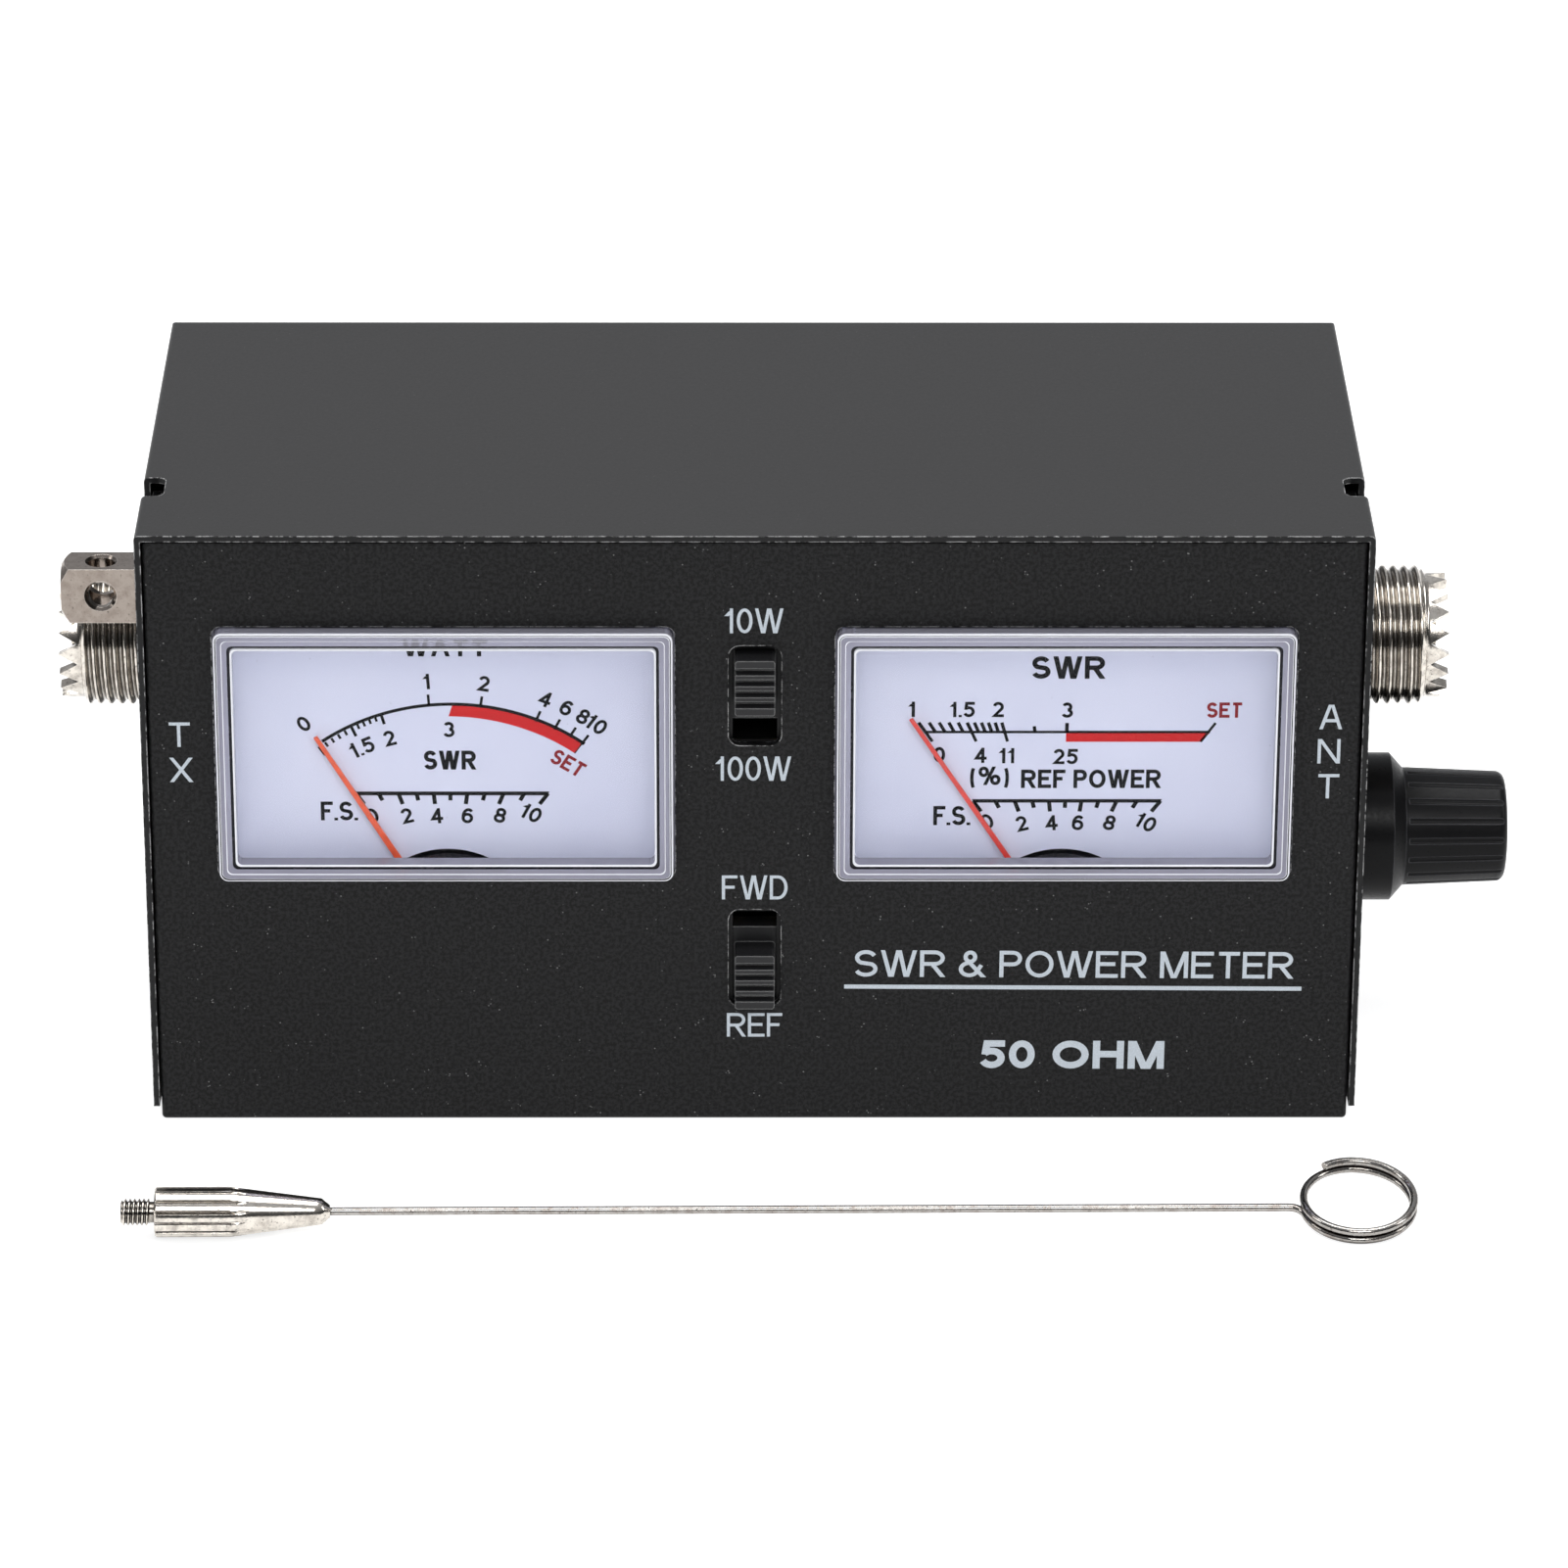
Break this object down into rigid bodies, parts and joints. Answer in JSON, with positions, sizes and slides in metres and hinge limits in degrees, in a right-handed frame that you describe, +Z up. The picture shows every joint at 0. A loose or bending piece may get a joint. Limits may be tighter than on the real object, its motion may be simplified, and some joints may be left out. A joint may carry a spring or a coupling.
{
  "type": "swr and power meter",
  "caption": "Bench standing-wave and power meter with twin moving-coil dials, slide switches, coaxial sockets at its ends, a set knob and a screw-in whip.",
  "frame": {"origin": "centre of the case's footprint, on the surface it stands on", "axes": "+X to the right seen from the front, where the antenna socket and set knob are; +Y towards the back; +Z up"},
  "size_m": [0.1649, 0.0938, 0.0715],
  "materials": {
    "cover_paint": "dark grey powder coat, satin",
    "panel_paint": "charcoal powder coat with fine texture",
    "black_steel": "blackened steel",
    "steel": "zinc plated",
    "zinc_steel": "zinc plated sheet",
    "brass": "plain brass",
    "copper": "enamelled copper winding",
    "soft_iron": "plain",
    "magnet": "sintered magnet",
    "nickel": "bright nickel plated brass",
    "nickel_wire": "nickel plated spring wire",
    "contact_metal": "silvered brass",
    "insulator_white": "white insulator",
    "phenolic": "brown laminate",
    "circuit_board": "solder-masked laminate",
    "component_body": "lacquered components",
    "black_plastic": "moulded",
    "switch_black": "moulded, semi-matt",
    "knob_black": "moulded, satin",
    "lens_clear": "clear acrylic",
    "dial_white": "matt white printed dial",
    "pointer_orange": "orange lacquer",
    "pointer_red": "red lacquer"
  },
  "bodies": {
    "case": {"cover": "cover_paint", "chassis": "panel_paint", "case_screws": "black_steel", "meter_screws": "steel", "meter_terminals": "brass", "meter_board": "circuit_board", "board_spacers": "steel", "board_screws": "steel", "switch_pins": "brass", "socket_rivets": "nickel", "coupler_trough": "zinc_steel", "through_line": "brass", "coupler_board": "circuit_board", "coupler_components": "component_body", "pot_body": "zinc_steel", "pot_nut": "nickel", "pot_track": "phenolic", "pot_lugs": "brass", "antenna_block": "nickel", "antenna_block_screw": "steel", "left_meter_lens": "lens_clear", "left_meter_case": "black_plastic", "left_dial_plate": "dial_white", "left_pivot_bridges": "brass", "left_core_magnet": "magnet", "left_yoke_ring": "soft_iron", "left_hairspring": "brass", "right_meter_lens": "lens_clear", "right_meter_case": "black_plastic", "right_dial_plate": "dial_white", "right_pivot_bridges": "brass", "right_core_magnet": "magnet", "right_yoke_ring": "soft_iron", "right_hairspring": "brass", "power_switch_frame": "black_steel", "power_switch_base": "black_plastic", "direction_switch_frame": "black_steel", "direction_switch_base": "black_plastic", "tx_socket_shell": "nickel", "tx_socket_insulator": "insulator_white", "tx_socket_contact": "contact_metal", "ant_socket_shell": "nickel", "ant_socket_insulator": "insulator_white", "ant_socket_contact": "contact_metal"},
    "left_pointer": {"left_pointer": "pointer_orange", "left_moving_coil": "copper"},
    "right_pointer": {"right_pointer": "pointer_red", "right_moving_coil": "copper"},
    "power_switch": {"power_switch_knob": "switch_black", "power_switch_contacts": "brass"},
    "direction_switch": {"direction_switch_knob": "switch_black", "direction_switch_contacts": "brass"},
    "set_knob": {"set_knob": "knob_black", "pot_shaft": "steel", "pot_wiper": "phenolic"},
    "whip": {"whip_handle": "nickel", "whip_wire": "nickel_wire"}
  },
  "joints": [
    {"name": "left_pointer_swing", "type": "hinge", "parent": "case", "child": "left_pointer", "pos_m": [-0.0341, -0.02, 0.0222], "axis": [0, 1, 0], "range_deg": [0, 67], "stiffness_Nm_per_rad": 0.00002},
    {"name": "right_pointer_swing", "type": "hinge", "parent": "case", "child": "right_pointer", "pos_m": [0.0341, -0.02, 0.0222], "axis": [0, 1, 0], "range_deg": [0, 67], "stiffness_Nm_per_rad": 0.00002},
    {"name": "power_switch_slide", "type": "slide", "parent": "case", "child": "power_switch", "axis": [0, 0, -1], "range_m": [0, 0.004]},
    {"name": "direction_switch_slide", "type": "slide", "parent": "case", "child": "direction_switch", "axis": [0, 0, 1], "range_m": [0, 0.004]},
    {"name": "set_knob_turn", "type": "hinge", "parent": "case", "child": "set_knob", "pos_m": [0.075, 0, 0.02155], "axis": [1, 0, 0], "range_deg": [-150, 150]},
    {"name": "whip_lift", "type": "slide", "parent": "case", "child": "whip", "axis": [0, 0, 1], "range_m": [0, 0.08]}
  ]
}
